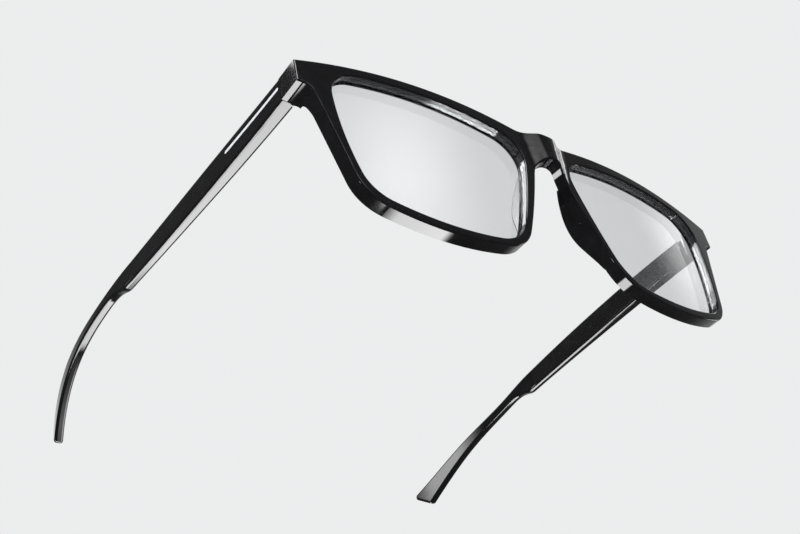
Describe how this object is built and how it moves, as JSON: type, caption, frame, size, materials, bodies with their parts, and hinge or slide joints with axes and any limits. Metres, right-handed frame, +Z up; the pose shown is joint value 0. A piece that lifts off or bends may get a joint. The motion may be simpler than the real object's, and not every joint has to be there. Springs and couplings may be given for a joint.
{
  "type": "smart glasses",
  "caption": "Black full-rim smart glasses with clear lenses, folding temples, a light strip along each temple and the electronics sealed inside.",
  "frame": {"origin": "centre of the bounding box at its lowest level, where the glasses stand open on a table on the two rims and the two temple tips", "axes": "+X to the wearer's left, +Y from the lenses back to the temple tips, +Z up from the table; X is the mirror direction"},
  "size_m": [0.152, 0.15, 0.0469],
  "materials": {
    "black_acetate": "polished",
    "clear_lens": "clear, coated",
    "black_acetate_pad": "polished",
    "hinge_steel": "brushed",
    "screw_steel": "plated",
    "black_cover": "satin",
    "strip_plastic": "translucent",
    "battery_foil": "foil pouch",
    "board_green": "solder mask",
    "speaker_shell": "satin",
    "microphone_can": "plated",
    "sensor_foil": "film",
    "button_plastic": "satin",
    "contact_plastic": "matt",
    "gold_pins": "plated"
  },
  "bodies": {
    "front": {"front_frame": "black_acetate", "left_lens": "clear_lens", "left_nose_pad": "black_acetate_pad", "left_front_hinge": "hinge_steel", "left_hinge_screw": "screw_steel", "right_lens": "clear_lens", "right_nose_pad": "black_acetate_pad", "right_front_hinge": "hinge_steel", "right_hinge_screw": "screw_steel"},
    "left_temple_arm": {"left_temple": "black_acetate", "left_temple_cover": "black_cover", "left_temple_hinge": "hinge_steel", "left_light_strip": "strip_plastic", "left_battery": "battery_foil", "left_circuit_board": "board_green", "left_speaker": "speaker_shell", "left_microphone": "microphone_can"},
    "right_temple_arm": {"right_temple": "black_acetate", "right_temple_cover": "black_cover", "right_temple_hinge": "hinge_steel", "right_light_strip": "strip_plastic", "right_battery": "battery_foil", "right_circuit_board": "board_green", "right_speaker": "speaker_shell", "right_microphone": "microphone_can", "touch_sensor": "sensor_foil", "contact_plate": "contact_plastic", "contact_pins": "gold_pins"},
    "button": {"power_button": "button_plastic"}
  },
  "joints": [
    {"name": "left_temple_fold", "type": "hinge", "parent": "front", "child": "left_temple_arm", "pos_m": [0.06985, -0.0587, 0.03771], "axis": [0, 0.1582, 0.9874], "range_deg": [0, 90]},
    {"name": "right_temple_fold", "type": "hinge", "parent": "front", "child": "right_temple_arm", "pos_m": [-0.06985, -0.0587, 0.03771], "axis": [0, -0.1582, -0.9874], "range_deg": [0, 76]},
    {"name": "power_button_press", "type": "slide", "parent": "right_temple_arm", "child": "button", "axis": [0, -0.1582, -0.9874], "range_m": [0, 0.00035], "stiffness_N_per_m": 500, "springref_m": -0.0001}
  ]
}
